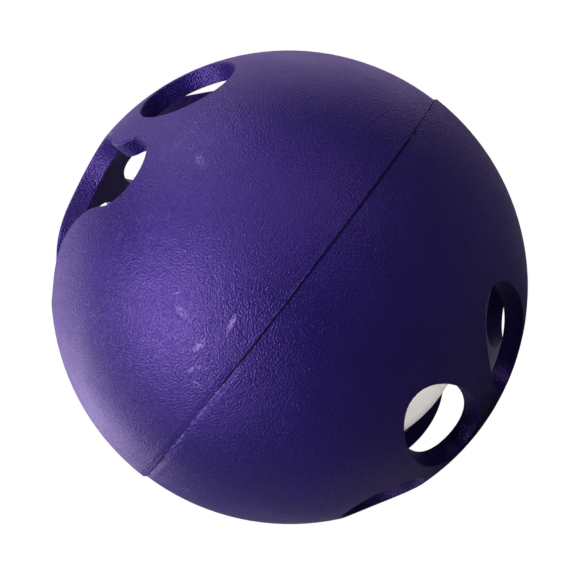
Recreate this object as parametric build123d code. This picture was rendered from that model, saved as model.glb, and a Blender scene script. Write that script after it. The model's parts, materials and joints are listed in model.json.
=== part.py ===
from build123d import *
import os
from math import cos, radians, sin, sqrt, tan

# Ball-in-a-ball play toy. The outer ball is two half shells joined at the
# equator, each with a paw-shaped set of openings around its pole. A smaller
# hollow ball, also two half shells, is loose inside it.
# Frame: origin at the centre of the outer ball, +Z through the pole of the upper
# shell, +Y the way the toes of the upper paw point, the seam in the plane z = 0.

# ---- Outer ball (mm, degrees) ----
BALL_R = 76.2            # 6 in ball
WALL = 6.0
SEAM_SLIP = 0.7          # how far the two shells sit out of line at the seam
SLIP_AZ = 42.0           # the way the lower shell has slipped, from +X
LOWER_TURN = 59.0        # turn of the lower shell about Z, once it is flipped over
RIM_ROUND = 0.6          # rounded outer edge of every opening
LIP_ROUND = 0.25         # rounded outer edge of each shell at the seam
WELD_HALF = 0.15         # half the thickness of the weld between the shell edges
WELD_SINK = 0.15         # how far the weld lies below the surface
BEAD_R = 0.9             # bead of melt squeezed into the cavity

# ---- Inner ball ----
INNER_R = 47.0
INNER_WALL = 3.5
INNER_WELD_HALF = 0.25
INNER_BEAD_R = 0.6
REST_GAP = 0.15          # gap to the cavity wall at both ends of its roll
REST_AZ = 131.0          # where the inner ball lies against the cavity wall
REST_EL = -41.0

# ---- Toe openings: ovals that narrow toward the ball's centre ----
# toward and aside are degrees from the pole, toward the toes and off the paw's
# centre line; long and across are half angles; fan turns the oval outwards.
UPPER_TOES = (
    dict(toward=30.2, aside=15.8, long=19.2, across=9.5, fan=18.7),
    dict(toward=0.0, aside=32.4, long=12.4, across=12.3, fan=-10.0),
)
LOWER_TOES = (
    dict(toward=31.6, aside=14.0, long=17.7, across=9.7, fan=15.9),
    dict(toward=5.5, aside=31.4, long=13.7, across=10.7, fan=0.0),
)

# ---- Pad openings: a top lobe and two side lobes blended together ----
# Drawn on the plane z = BALL_R and also cut toward the ball's centre. back is
# how far a lobe's centre lies behind the pole; waist and heel are blend radii.
UPPER_PAD = dict(
    top_r=20.0, top_back=22.3, side_r=14.7, side_back=41.1, aside=32.0, waist=16.4, heel=42.0
)
LOWER_PAD = dict(
    top_r=16.0, top_back=12.2, side_r=13.0, side_back=39.4, aside=34.1, waist=21.3, heel=35.0
)

# ---- Worked out from the above ----
CAVITY_R = BALL_R - WALL
REST_OFFSET = CAVITY_R - INNER_R - REST_GAP
CUT_FROM = 0.6           # the cutters run between these shares of BALL_R
CUT_TO = 1.15


def direction(azimuth, elevation):
    """Unit vector at an azimuth from +X and an elevation above the seam."""
    level = cos(radians(elevation))
    return Vector(
        level * cos(radians(azimuth)),
        level * sin(radians(azimuth)),
        sin(radians(elevation)),
    )


def toe_direction(toward, aside):
    """Unit vector to a place given in degrees from the upper shell's pole."""
    from_pole = sqrt(toward**2 + aside**2)
    level = sin(radians(from_pole)) / from_pole
    return Vector(level * aside, level * toward, cos(radians(from_pole)))


def toe_cutter(toe, side):
    """Oval cone with its tip at the ball's centre; side is 1 or -1."""
    out = toe_direction(toe["toward"], side * toe["aside"])
    along = (Vector(0, 1, 0) - out * out.Y).normalized()
    along = along.rotate(Axis((0, 0, 0), out), -side * toe["fan"])
    ovals = []
    for share in (CUT_FROM, CUT_TO):
        reach = share * BALL_R
        oval = Ellipse(
            reach * tan(radians(toe["long"])),
            reach * tan(radians(toe["across"])),
        )
        ovals.append(Plane(origin=out * reach, x_dir=along, z_dir=out) * oval)
    return loft(ovals, ruled=True)


def blend_arc(lobe, lobe_r, other, other_r, radius):
    """Start, middle and end of the arc that blends two lobes, on its outer side."""
    apart = other - lobe
    reach = lobe_r + radius
    along = (reach**2 - (other_r + radius) ** 2 + apart.length**2) / (2 * apart.length)
    aside = sqrt(reach**2 - along**2)
    outward = Vector(apart.Y, -apart.X).normalized()
    centre = lobe + apart.normalized() * along + outward * aside
    start = lobe + (centre - lobe) * (lobe_r / reach)
    end = other + (centre - other) * (other_r / (other_r + radius))
    return start, centre - outward * radius, end


def pad_outline(pad, share):
    """Pad opening on the plane z = share * BALL_R."""
    lobes = [
        (Vector(0, -pad["top_back"]), pad["top_r"]),
        (Vector(-pad["aside"], -pad["side_back"]), pad["side_r"]),
        (Vector(pad["aside"], -pad["side_back"]), pad["side_r"]),
    ]
    middle = (lobes[0][0] + lobes[1][0] + lobes[2][0]) / 3
    blends = []
    for index, radius in enumerate((pad["waist"], pad["heel"], pad["waist"])):
        blends.append(blend_arc(*lobes[index], *lobes[(index + 1) % 3], radius))
    edges = []
    for index, (lobe, lobe_r) in enumerate(lobes):
        arrive = blends[index - 1][2]
        leave = blends[index][0]
        outermost = lobe + (lobe - middle).normalized() * lobe_r
        edges.append(ThreePointArc(arrive * share, outermost * share, leave * share))
        edges.append(ThreePointArc(*[point * share for point in blends[index]]))
    return Pos(0, 0, share * BALL_R) * make_face(edges)


def hollow_half(radius, wall, lift):
    """Upper half of a hollow ball, its edge lifted off the seam plane."""
    half = Rot(0, 0, 90) * (Sphere(radius) - Sphere(radius - wall))
    return half - Pos(0, 0, lift - radius) * Box(4 * radius, 4 * radius, 2 * radius)


def outer_edges(solid):
    """Edges on the outside of a shell: the rims of its openings, then its lip."""
    outside = [e for e in solid.edges() if abs((e @ 0.5).length - BALL_R) < 0.01]
    rims = [e for e in outside if e.geom_type != GeomType.CIRCLE]
    lip = [e for e in outside if (e @ 0.5).Z < WELD_HALF + 1]
    return rims, lip


def outer_shell(toes, pad):
    """One half of the outer ball, as it sits when it is the upper one."""
    shell = hollow_half(BALL_R, WALL, WELD_HALF)
    shell -= loft([pad_outline(pad, CUT_FROM), pad_outline(pad, CUT_TO)], ruled=True)
    for toe in toes:
        for side in (1, -1):
            shell -= toe_cutter(toe, side)
    rims, lip = outer_edges(shell)
    shell = fillet(rims, RIM_ROUND)
    rims, lip = outer_edges(shell)
    return fillet(lip, LIP_ROUND)


def seam_weld(outer_r, inner_r, half, bead_r):
    """Ring of melt between two half shells, with a bead along its inside."""
    web = Pos((outer_r + inner_r - bead_r) / 2, 0) * Rectangle(
        outer_r - inner_r + bead_r, 2 * half
    )
    bead = Pos(inner_r - bead_r, 0) * Circle(bead_r)
    return revolve(Plane.XZ * (web + bead), Axis.Z)


def flip(solid):
    """Turn a half shell over, so that its pole points down."""
    return Rot(180, 0, 0) * solid


def build_nodes():
    """Every node of the assembly, by name."""
    slip = direction(SLIP_AZ, 0) * (SEAM_SLIP / 2)
    rest = direction(REST_AZ, REST_EL) * REST_OFFSET
    upper = outer_shell(UPPER_TOES, UPPER_PAD)
    lower = flip(outer_shell(LOWER_TOES, LOWER_PAD))
    small_half = hollow_half(INNER_R, INNER_WALL, INNER_WELD_HALF)
    return {
        "outer_shell_upper": Pos(-slip) * upper,
        "outer_shell_lower": Pos(slip) * Rot(0, 0, LOWER_TURN) * lower,
        "outer_seam_weld": seam_weld(
            BALL_R - WELD_SINK,
            CAVITY_R - SEAM_SLIP / 2 - 0.05,
            WELD_HALF,
            BEAD_R,
        ),
        "inner_shell_upper": Pos(rest) * small_half,
        "inner_shell_lower": Pos(rest) * flip(small_half),
        "inner_seam_weld": Pos(rest) * seam_weld(
            INNER_R,
            INNER_R - INNER_WALL - 0.05,
            INNER_WELD_HALF,
            INNER_BEAD_R,
        ),
    }


os.makedirs("parts", exist_ok=True)
for name, solid in build_nodes().items():
    export_step(solid, f"parts/{name}.step")
    print(name, round(solid.volume), solid.bounding_box())
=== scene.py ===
import json
import math

import bmesh
import bpy
from mathutils import Matrix, Vector, noise


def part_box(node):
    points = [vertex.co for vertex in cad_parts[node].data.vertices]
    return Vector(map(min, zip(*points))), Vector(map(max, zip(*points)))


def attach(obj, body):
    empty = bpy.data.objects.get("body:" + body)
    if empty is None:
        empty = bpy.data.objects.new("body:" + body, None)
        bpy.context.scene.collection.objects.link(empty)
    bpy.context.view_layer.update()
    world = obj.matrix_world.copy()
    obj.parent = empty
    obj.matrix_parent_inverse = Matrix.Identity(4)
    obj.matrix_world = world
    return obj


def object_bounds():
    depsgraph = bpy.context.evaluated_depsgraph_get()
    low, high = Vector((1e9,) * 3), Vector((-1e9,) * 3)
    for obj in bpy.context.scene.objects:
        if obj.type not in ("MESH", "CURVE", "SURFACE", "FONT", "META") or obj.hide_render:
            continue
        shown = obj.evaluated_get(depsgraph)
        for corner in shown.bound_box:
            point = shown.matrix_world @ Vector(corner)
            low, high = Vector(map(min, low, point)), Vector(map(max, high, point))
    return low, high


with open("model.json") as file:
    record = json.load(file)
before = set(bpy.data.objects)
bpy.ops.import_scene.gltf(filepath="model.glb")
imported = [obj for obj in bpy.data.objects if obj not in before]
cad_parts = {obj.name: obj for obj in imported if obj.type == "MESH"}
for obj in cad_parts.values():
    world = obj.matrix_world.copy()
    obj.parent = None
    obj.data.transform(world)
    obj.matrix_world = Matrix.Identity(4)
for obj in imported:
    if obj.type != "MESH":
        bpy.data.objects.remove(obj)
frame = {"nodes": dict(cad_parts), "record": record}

# A purple plastic ball of two half shells, each with a paw-shaped set of
# openings, and a loose white ball inside. Metres, in the frame of the CAD:
# origin at the centre of the outer ball, +Z through the upper shell's pole.

CAD_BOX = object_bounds()

# ---- Sizes, from the frame ----
shell_low, shell_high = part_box("outer_shell_upper")
weld_low, weld_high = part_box("outer_seam_weld")
BALL_R = (shell_high.x - shell_low.x) / 2
WELD_R = (weld_high.x - weld_low.x) / 2
FLOOR_Z = CAD_BOX[0].z
MM = 0.001

# ---- Viewing angle ----
VIEW_AZIMUTH = math.radians(-47.5)    # of the camera, from +X
VIEW_ELEVATION = math.radians(1.5)
VIEW_ROLL = math.radians(-52.4)
VIEW_DISTANCE = 7.53 * BALL_R
BALL_SHARE = 0.82                     # ball's radius over half the picture
AIM_SHIFT = (0.0009, -0.0047)
SENSOR = 36.0
CLIP_NEAR = 0.1
CLIP_FAR = 50

# ---- Colours (linear) ----
PURPLE = (0.0058, 0.0030, 0.0520)
PURPLE_DEEP = (0.0034, 0.0018, 0.0330)
PURPLE_SHEEN = (0.57, 0.42, 1.0)
PURPLE_CHALK = (0.110, 0.090, 0.260)
# Painted rim sheen: the colour the purple turns to toward the ball's outline.
PURPLE_RIM_SHEEN = (0.0060, 0.0040, 0.0500)
SHEEN_LEVEL = 0.5
PURPLE_IOR = 1.5
CREAM_IOR = 1.48
SCUFF_PALE = (0.125, 0.105, 0.180)
# Painted shade for the seam groove and the weld in it: a near-black purple.
GROOVE_SHADE = (0.0015, 0.0008, 0.010)
CREAM = (0.72, 0.70, 0.66)
CREAM_DEEP = (0.60, 0.58, 0.53)
WHITE = (1.0, 1.0, 1.0)
LIGHT_TINT = (0.80, 0.66, 1.0)        # the lights lean toward the ball's own purple
FLOOR_WHITE = (0.75, 0.90, 0.60)      # looks neutral under that tint
FLOOR_DIM = (0.16, 0.16, 0.17)
WORLD_DIM = 0.012
WORLD_BRIGHT = 0.95
# Where the world brightens and where it falls off again, as the cosine of the
# angle to the camera's side, and the share that is left straight behind.
WORLD_RISE = (-0.05, -0.60)
WORLD_FALL = (-0.75, -1.0)
WORLD_MIDDLE = 0.55
WORLD_TINT = (0.70, 0.52, 1.0)


# ---- Camera ----
def direction(azimuth, elevation):
    """Unit vector at an azimuth from +X and an elevation above the seam."""
    return Vector((
        math.cos(elevation) * math.cos(azimuth),
        math.cos(elevation) * math.sin(azimuth),
        math.sin(elevation),
    ))


def camera_axes():
    """The picture's right, its up, and the way from the ball to the camera."""
    toward = direction(VIEW_AZIMUTH, VIEW_ELEVATION)
    level = direction(VIEW_AZIMUTH + math.pi / 2, 0)
    upright = direction(VIEW_AZIMUTH, VIEW_ELEVATION + math.pi / 2)
    right = level * math.cos(VIEW_ROLL) + upright * math.sin(VIEW_ROLL)
    up = upright * math.cos(VIEW_ROLL) - level * math.sin(VIEW_ROLL)
    return right, up, toward


RIGHT, UP, TOWARD = camera_axes()


def make_camera():
    data = bpy.data.cameras.new("camera")
    data.sensor_width = SENSOR
    reach = math.sqrt((VIEW_DISTANCE / BALL_R) ** 2 - 1)
    data.lens = SENSOR / 2 * BALL_SHARE * reach
    data.shift_x, data.shift_y = AIM_SHIFT
    data.clip_start = VIEW_DISTANCE * CLIP_NEAR
    data.clip_end = VIEW_DISTANCE * CLIP_FAR
    camera = bpy.data.objects.new("camera", data)
    bpy.context.scene.collection.objects.link(camera)
    axes = Matrix((RIGHT, UP, TOWARD)).transposed()
    camera.matrix_world = Matrix.LocRotScale(TOWARD * VIEW_DISTANCE, axes.to_quaternion(), None)
    bpy.context.scene.camera = camera


# ---- Lights ----
LIGHT_DISTANCE = 1.0                  # metres
LIGHT_WIDTH = 0.5
INNER_LIGHT_POWER = 8.0
# Each light: its way from the ball, as shares of the picture's right, up and
# toward the camera, and its power in watts.
LIGHTS = {
    "key": ((-0.81, -0.15, 0.55), 19.0),
    "top_left": ((-0.59, 0.80, 0.08), 6.0),
    "left_front": ((-0.62, -0.62, 0.48), 4.6),
    "top_front": ((0.16, 0.66, 0.73), 3.6),
    "upper_left": ((-0.45, 0.50, 0.74), 3.4),
    "low_left_back": ((-0.61, -0.37, -0.70), 1.6),
    "left_back": ((-0.80, 0.00, -0.60), 1.0),
    "top_back": ((0.00, 0.80, -0.60), 0.4),
    "right": ((1.00, 0.00, 0.00), 0.3),
}


def seen_from(right, up, toward):
    """Unit vector given by its shares of the picture's right, up and toward."""
    return (RIGHT * right + UP * up + TOWARD * toward).normalized()


def soft_light(name, way, power, colour):
    """Round soft light that faces the ball from the given way."""
    data = bpy.data.lights.new(name, "AREA")
    data.color = colour
    data.shape = "DISK"
    data.size = LIGHT_WIDTH
    data.energy = power
    light = bpy.data.objects.new(name, data)
    bpy.context.scene.collection.objects.link(light)
    light.location = way * LIGHT_DISTANCE
    light.rotation_mode = "QUATERNION"
    light.rotation_quaternion = way.to_track_quat("Z", "Y")
    return light


def make_lights():
    for name, (way, power) in LIGHTS.items():
        soft_light(name, seen_from(*way), power, LIGHT_TINT)


def light_inner_ball():
    """Light that only the loose ball catches, as white plastic glows by bounce."""
    caught_by = bpy.data.collections.new("inner_ball_light")
    for node in frame["record"]["behaviour"]["bodies"]["inner_ball"]:
        caught_by.objects.link(frame["nodes"][node])
    for name, way in (
        ("inner_front", TOWARD),
        ("inner_back", -TOWARD),
        ("inner_top", Vector((0, 0, 1))),
        ("inner_under", Vector((0, 0, -1))),
    ):
        light = soft_light(name, way, INNER_LIGHT_POWER, WHITE)
        light.data.use_shadow = False
        light.light_linking.receiver_collection = caught_by


# ---- Node helpers ----
class Nodes:
    """Adds nodes to a tree; an input is a value or another node's output."""

    def __init__(self, tree):
        self.tree = tree
        tree.nodes.clear()

    def add(self, kind, values=None, out=0, **settings):
        node = self.tree.nodes.new(kind)
        for key, value in settings.items():
            setattr(node, key, value)
        for key, value in (values or {}).items():
            self.put(node.inputs[key], value)
        return node.outputs[out] if out is not None else node

    def put(self, socket, value):
        if isinstance(value, bpy.types.NodeSocket):
            self.tree.links.new(value, socket)
        elif socket.type == "RGBA" and len(value) == 3:
            socket.default_value = (*value, 1)
        else:
            socket.default_value = value

    def math(self, operation, *values):
        return self.add("ShaderNodeMath", dict(enumerate(values)), operation=operation)

    def vector(self, operation, *values, out=0):
        return self.add(
            "ShaderNodeVectorMath", dict(enumerate(values)), out=out, operation=operation
        )

    def ramp(self, value, low, high, start=0.0, end=1.0):
        return self.add(
            "ShaderNodeMapRange",
            {0: value, 1: low, 2: high, 3: start, 4: end},
            interpolation_type="SMOOTHSTEP",
        )

    def noise(self, place, scale, detail=2.0, roughness=0.5, distortion=0.0):
        values = {
            "Vector": place,
            "Scale": scale,
            "Detail": detail,
            "Roughness": roughness,
            "Distortion": distortion,
        }
        return self.add("ShaderNodeTexNoise", values)

    def mix(self, share, one, other):
        node = self.tree.nodes.new("ShaderNodeMix")
        node.data_type = "RGBA"
        self.put(node.inputs[0], share)
        self.put(node.inputs[6], one)
        self.put(node.inputs[7], other)
        return node.outputs[2]

    def bump(self, height, strength, distance, under=None):
        values = {"Height": height, "Strength": strength, "Distance": distance}
        if under is not None:
            values["Normal"] = under
        return self.add("ShaderNodeBump", values)


def plastic(n, values):
    """Finish a material with one shader that has these inputs."""
    shader = n.add("ShaderNodeBsdfPrincipled", values)
    n.add("ShaderNodeOutputMaterial", {"Surface": shader}, out=None)


def new_material(name):
    material = bpy.data.materials.new(name)
    material.use_nodes = True
    return material, Nodes(material.node_tree)


# ---- World: white to the camera, soft and mostly behind the ball as light ----
def make_world():
    world = bpy.data.worlds.new("studio")
    world.use_nodes = True
    bpy.context.scene.world = world
    n = Nodes(world.node_tree)
    way = n.add("ShaderNodeTexCoord", out=0)
    facing = n.vector("DOT_PRODUCT", way, tuple(TOWARD), out=1)
    ring = n.ramp(facing, *WORLD_RISE, WORLD_DIM, WORLD_BRIGHT)
    level = n.math("MULTIPLY", ring, n.ramp(facing, *WORLD_FALL, 1.0, WORLD_MIDDLE))
    light = n.add("ShaderNodeBackground", {"Color": WORLD_TINT, "Strength": level})
    white = n.add("ShaderNodeBackground", {"Color": WHITE, "Strength": 1.0})
    seen = n.add("ShaderNodeLightPath", out=0)
    both = n.add("ShaderNodeMixShader", {0: seen, 1: light, 2: white})
    n.add("ShaderNodeOutputWorld", {"Surface": both}, out=None)


# ---- Materials ----
FLOOR_FADE = (4 * BALL_R, 14 * BALL_R)   # from plain floor to plain white
FLOOR_GRAZE = (0.38, 0.26)               # the same, by the sine of the viewing angle
# Noise scales are in features per metre, depths in metres.
PEEL_SCALE = 1900.0                      # orange-peel grain of the purple plastic
PEEL_DEPTH = 0.30 * MM
FINE_SCALE = 4500.0
FINE_DEPTH = 0.03 * MM
MOTTLE_SCALE = 14.0                      # broad colour variation
PEEL_SHARE = 0.25                        # of the grain in that variation
SCUFF_SCALE = 1100.0                     # specks that a scuff is made of
PURPLE_ROUGH = (0.29, 0.39)
MELT_ROUGH = (0.30, 0.48)
WELD_ROUGH = (0.75, 0.5)                 # where it carries painted shade, and where it is bare
CREAM_ROUGH = (0.38, 0.5)
GROOVE_SHADE_Z = -0.12 * MM                     # middle of the painted shade along the seam groove
GROOVE_SHADE_EDGE = (0.42 * MM, 0.25 * MM)      # where the painted groove shade fades out and is full
DIP_REACH = (0.80, 0.93)                 # its ends, as cosines from its middle
# Light scuffs, as they lie on the side toward the camera: shares of the ball's
# radius to the right and up, turn of the stroke in degrees, half length and half
# width, and strength.
SCUFFS = (
    (-0.214, -0.133, 62, 3.6 * MM, 1.0 * MM, 1.0),
    (-0.338, -0.219, 39, 3.2 * MM, 1.1 * MM, 1.0),
    (-0.359, -0.307, 25, 2.9 * MM, 0.9 * MM, 0.9),
    (-0.352, -0.357, -20, 2.2 * MM, 0.4 * MM, 0.9),
    (-0.417, -0.021, 10, 2.0 * MM, 0.35 * MM, 0.9),
    (-0.402, -0.093, -45, 3.5 * MM, 1.4 * MM, 0.6),
    (-0.340, 0.480, -60, 3.0 * MM, 1.5 * MM, 0.5),
)
SCUFF_DEPTH = 3 * MM                  # keeps a scuff off the far side of the ball
DIP_AZIMUTH = math.radians(-98)       # where the shells draw in beside the seam
DIP_HALF = 2.4 * MM
DIP_DEPTH = 0.22 * MM


def scuff_mask(n, place, right, up, turn, length, width, strength):
    """Soft oval patch on the ball, 1 in its middle and 0 outside."""
    out = seen_from(right, up, math.sqrt(1 - right**2 - up**2))
    along = RIGHT * math.cos(math.radians(turn)) + UP * math.sin(math.radians(turn))
    along = (along - out * along.dot(out)).normalized()
    axes = Matrix((along, out.cross(along), out)).transposed()
    values = {
        "Vector": place,
        "Location": tuple(out * BALL_R),
        "Rotation": tuple(axes.to_euler()),
        "Scale": (length, width, SCUFF_DEPTH),
    }
    local = n.add("ShaderNodeMapping", values, vector_type="TEXTURE")
    return n.ramp(n.vector("LENGTH", local, out=1), 1.1, 0.4, 0.0, strength)


def all_scuffs(n, place):
    """Every scuff, broken up into specks."""
    patches = 0.0
    for scuff in SCUFFS:
        patches = n.math("MAXIMUM", patches, scuff_mask(n, place, *scuff))
    specks = n.ramp(n.noise(place, SCUFF_SCALE, 2.0, 0.6), 0.36, 0.60)
    return n.math("MULTIPLY", patches, specks)


def seam_masks(n, place):
    """Painted shade in the seam groove, and the dip of the shells beside it."""
    height = n.add("ShaderNodeSeparateXYZ", {0: place}, out=2)
    off = n.math("ABSOLUTE", n.math("SUBTRACT", height, GROOVE_SHADE_Z))
    facing = n.vector(
        "DOT_PRODUCT", n.vector("NORMALIZE", place), tuple(direction(DIP_AZIMUTH, 0)), out=1
    )
    near_dip = n.ramp(facing, *DIP_REACH)
    # Painted shade: the base colour darkens in a thin band along the seam groove.
    groove_shade = n.math("MULTIPLY", n.ramp(off, *GROOVE_SHADE_EDGE), n.ramp(near_dip, 0.6, 0.2))
    level = n.ramp(n.math("ABSOLUTE", height), 0.0, DIP_HALF)
    rise = n.math("MULTIPLY", near_dip, level)
    return groove_shade, n.math("SUBTRACT", rise, near_dip)


def plastic_purple():
    """Satin moulded plastic with a fine orange-peel grain, scuffs, painted shade in the seam groove
    and a painted sheen toward the outline.
    """
    material, n = new_material("purple_plastic")
    place = n.add("ShaderNodeTexCoord", out=3)
    scuffs = all_scuffs(n, place)
    groove_shade, dip = seam_masks(n, place)
    broad = n.noise(place, MOTTLE_SCALE, 3.0, 0.6)
    fine = n.noise(place, FINE_SCALE, 1.0, 0.5)
    peel = n.noise(place, PEEL_SCALE, 1.5, 0.5)
    mottle = n.math("MULTIPLY_ADD", peel, PEEL_SHARE, n.math("MULTIPLY", broad, 1 - PEEL_SHARE))
    colour = n.mix(n.ramp(mottle, 0.35, 0.65), PURPLE_DEEP, PURPLE)
    # Painted rim sheen: toward the outline the colour turns to the rim colour.
    edge = n.add("ShaderNodeLayerWeight", {"Blend": 0.5}, out=1)
    colour = n.mix(n.math("POWER", edge, 2.0), colour, PURPLE_RIM_SHEEN)
    colour = n.mix(scuffs, colour, SCUFF_PALE)
    # Painted shade in the seam groove, which also dims the reflection there.
    colour = n.mix(groove_shade, colour, GROOVE_SHADE)
    rough = n.ramp(n.noise(place, 60.0, 4.0, 0.65), 0.3, 0.7, *PURPLE_ROUGH)
    bump = n.bump(dip, 1.0, DIP_DEPTH)
    bump = n.bump(peel, 1.0, PEEL_DEPTH, bump)
    bump = n.bump(fine, 1.0, FINE_DEPTH, bump)
    values = {
        "Base Color": colour,
        "Roughness": rough,
        "IOR": PURPLE_IOR,
        "Specular IOR Level": n.ramp(groove_shade, 0.0, 1.0, SHEEN_LEVEL, 0.05),
        "Specular Tint": PURPLE_SHEEN,
        "Normal": bump,
    }
    plastic(n, values)
    return material


def plastic_melt():
    """Purple plastic that has been melted and stretched: paler and uneven."""
    material, n = new_material("melted_plastic")
    place = n.add("ShaderNodeTexCoord", out=3)
    streaks = n.noise(place, 900.0, 3.0, 0.6)
    colour = n.mix(n.ramp(streaks, 0.35, 0.65), PURPLE, PURPLE_CHALK)
    bump = n.bump(n.noise(place, 1800.0, 2.0, 0.6), 1.0, 0.10 * MM)
    values = {
        "Base Color": colour,
        "Roughness": n.ramp(streaks, 0.3, 0.7, *MELT_ROUGH),
        "IOR": PURPLE_IOR,
        "Specular IOR Level": SHEEN_LEVEL,
        "Specular Tint": PURPLE_SHEEN,
        "Normal": bump,
    }
    plastic(n, values)
    return material


def plastic_weld():
    """The weld in the groove, in patches dark with painted groove shade."""
    material, n = new_material("weld_plastic")
    place = n.add("ShaderNodeTexCoord", out=3)
    # Painted shade: patches of the weld take the groove's painted shade colour.
    patches = n.ramp(n.noise(place, 300.0, 3.0, 0.6), 0.35, 0.65)
    values = {
        "Base Color": n.mix(patches, GROOVE_SHADE, PURPLE_DEEP),
        "Roughness": n.ramp(patches, 0.0, 1.0, *WELD_ROUGH),
        "Specular IOR Level": 0.1,
        "Normal": n.bump(n.noise(place, 1500.0, 2.0, 0.6), 1.0, 0.06 * MM),
    }
    plastic(n, values)
    return material


def plastic_cream():
    """Smooth off-white plastic of the loose ball."""
    material, n = new_material("cream_plastic")
    place = n.add("ShaderNodeTexCoord", out=3)
    broad = n.noise(place, 30.0, 3.0, 0.6)
    fine = n.noise(place, 1100.0, 2.0, 0.5)
    colour = n.mix(n.ramp(broad, 0.35, 0.7), CREAM_DEEP, CREAM)
    rough = n.ramp(n.noise(place, 80.0, 3.0, 0.6), 0.3, 0.7, *CREAM_ROUGH)
    bump = n.bump(fine, 0.4, 0.03 * MM)
    plastic(n, {"Base Color": colour, "Roughness": rough, "IOR": CREAM_IOR, "Normal": bump})
    return material


def floor_pale():
    """Pale floor that turns to plain white far away and at grazing angles."""
    material, n = new_material("pale_floor")
    place = n.add("ShaderNodeNewGeometry", out=0)
    away = n.vector("LENGTH", place, out=1)
    far = n.ramp(away, *FLOOR_FADE)
    facing = n.vector(
        "DOT_PRODUCT", n.add("ShaderNodeNewGeometry", out=4), (0.0, 0.0, 1.0), out=1
    )
    graze = n.ramp(facing, *FLOOR_GRAZE)
    plain = n.math("MAXIMUM", far, graze)
    seen = n.add("ShaderNodeLightPath", out=0)
    matte = n.add("ShaderNodeBsdfDiffuse", {"Color": n.mix(seen, FLOOR_DIM, FLOOR_WHITE)})
    white = n.add("ShaderNodeEmission", {"Color": WHITE, "Strength": 1.0})
    both = n.add(
        "ShaderNodeMixShader", {0: n.math("MULTIPLY", plain, seen), 1: matte, 2: white}
    )
    n.add("ShaderNodeOutputMaterial", {"Surface": both}, out=None)
    return material


# ---- Seam flash: ragged ridges of melt along the seam ----
FLASH_STEPS = 1800
FLASH_SINK = 0.08 * MM                # how deep a ridge's edges lie in the shell
FLASH_HIDE = 0.35 * MM                # how much deeper it lies where it has died out
# Points across a ridge: shares of its half width and of its height.
FLASH_SECTION = (
    (-1.0, -1.0), (-0.7, 0.1), (-0.4, 0.8), (-0.1, 0.5),
    (0.2, 1.0), (0.5, 0.4), (0.8, -0.1), (1.0, -1.0),
)
# Each ridge: its height above the seam, half width and height, and where it runs:
# the middle and half length of each run in degrees from +X, and its strength.
FLASHES = {
    "seam_flash_smear": dict(
        z=-0.35 * MM, half=0.70 * MM, height=0.28 * MM,
        runs=((-89.0, 18.0, 1.0), (-117.0, 13.0, 0.5), (100.0, 24.0, 0.8), (165.0, 9.0, 0.5)),
    ),
    "seam_flash_lip": dict(
        z=0.42 * MM, half=0.20 * MM, height=0.05 * MM,
        runs=((-52.0, 24.0, 1.0), (30.0, 20.0, 0.6), (-170.0, 25.0, 0.7)),
    ),
}


def shell_centre(node):
    """A half shell's own axis, which is a little off the ball's."""
    low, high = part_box(node)
    return Vector(((low.x + high.x) / 2, (low.y + high.y) / 2, 0))


UPPER_CENTRE = shell_centre("outer_shell_upper")
LOWER_CENTRE = shell_centre("outer_shell_lower")


def wander(azimuth, step, seed):
    """Smooth noise from -1 to 1 that closes on itself round the seam."""
    reach = WELD_R / step
    return noise.noise(Vector((math.cos(azimuth) * reach, math.sin(azimuth) * reach, seed)))


def flash_strength(azimuth, runs):
    """Share of a ridge's full size at an azimuth."""
    most = 0.0
    for middle, half, strength in runs:
        off = (math.degrees(azimuth) - middle + 180) % 360 - 180
        most = max(most, strength * max(0.0, 1 - (off / half) ** 4))
    return most


def surface_radius(azimuth, z):
    """Distance of the outer surface from the ball's axis, on either shell."""
    centre = UPPER_CENTRE if z > 0 else LOWER_CENTRE
    along = centre.dot(Vector((math.cos(azimuth), math.sin(azimuth), 0)))
    return along + math.sqrt(along**2 - centre.length_squared + BALL_R**2 - z**2)


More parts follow.
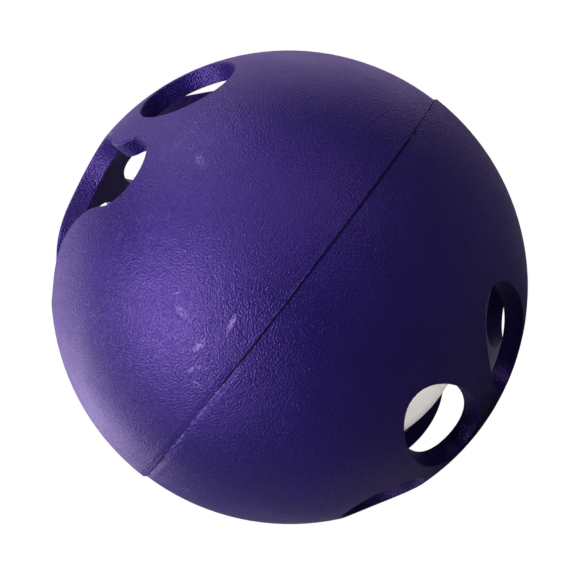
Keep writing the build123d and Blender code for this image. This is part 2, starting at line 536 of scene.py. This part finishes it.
def flash_ring(azimuth, z, half, height, runs):
    """Points across one ridge at an azimuth."""
    strength = flash_strength(azimuth, runs)
    middle = z + half * (0.25 * wander(azimuth, 5 * MM, 1.7) + 0.15 * wander(azimuth, 1.1 * MM, 5.9))
    wide = half * (0.75 + 0.4 * wander(azimuth, 2.3 * MM, 12.5))
    sunk = FLASH_SINK + FLASH_HIDE * (1 - strength)
    ring = []
    for index, (across, up) in enumerate(FLASH_SECTION):
        lump = 0.7 + 0.6 * wander(azimuth, 0.8 * MM, 20.0 + 3.3 * index)
        rise = up * height * strength * lump if up > 0 else up * FLASH_SINK
        point_z = middle + across * wide
        radius = surface_radius(azimuth, point_z) - sunk * (1 - max(up, 0) * strength) + rise
        ring.append((radius * math.cos(azimuth), radius * math.sin(azimuth), point_z))
    return ring


def make_flash(name, material, ridge):
    builder = bmesh.new()
    rings = []
    for step in range(FLASH_STEPS):
        ring = flash_ring(2 * math.pi * step / FLASH_STEPS, **ridge)
        rings.append([builder.verts.new(point) for point in ring])
    for step, ring in enumerate(rings):
        other = rings[(step + 1) % FLASH_STEPS]
        for index in range(len(ring)):
            following = (index + 1) % len(ring)
            builder.faces.new((ring[index], other[index], other[following], ring[following]))
    bmesh.ops.recalc_face_normals(builder, faces=builder.faces)
    mesh = bpy.data.meshes.new(name)
    builder.to_mesh(mesh)
    builder.free()
    mesh.shade_smooth()
    mesh.materials.append(material)
    flash = bpy.data.objects.new(name, mesh)
    bpy.context.scene.collection.objects.link(flash)
    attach(flash, "outer_ball")


# ---- Floor ----
FLOOR_R = 40 * BALL_R
FLOOR_SIDES = 96
def make_floor():
    mesh = bpy.data.meshes.new("floor")
    builder = bmesh.new()
    bmesh.ops.create_circle(builder, cap_ends=True, segments=FLOOR_SIDES, radius=FLOOR_R)
    builder.to_mesh(mesh)
    builder.free()
    mesh.materials.append(floor_pale())
    floor = bpy.data.objects.new("floor", mesh)
    floor.location.z = FLOOR_Z
    bpy.context.scene.collection.objects.link(floor)


# ---- Dress the CAD nodes ----
def paint(node, material):
    obj = frame["nodes"][node]
    obj.data.materials.clear()
    obj.data.materials.append(material)


def dress_nodes():
    purple = plastic_purple()
    cream = plastic_cream()
    paint("outer_shell_upper", purple)
    paint("outer_shell_lower", purple)
    paint("outer_seam_weld", plastic_weld())
    melt = plastic_melt()
    for name, ridge in FLASHES.items():
        make_flash(name, melt, ridge)
    for node in ("inner_shell_upper", "inner_shell_lower", "inner_seam_weld"):
        paint(node, cream)


make_camera()
make_lights()
make_world()
make_floor()
dress_nodes()
light_inner_ball()

bpy.context.scene.view_settings.view_transform = "Standard"
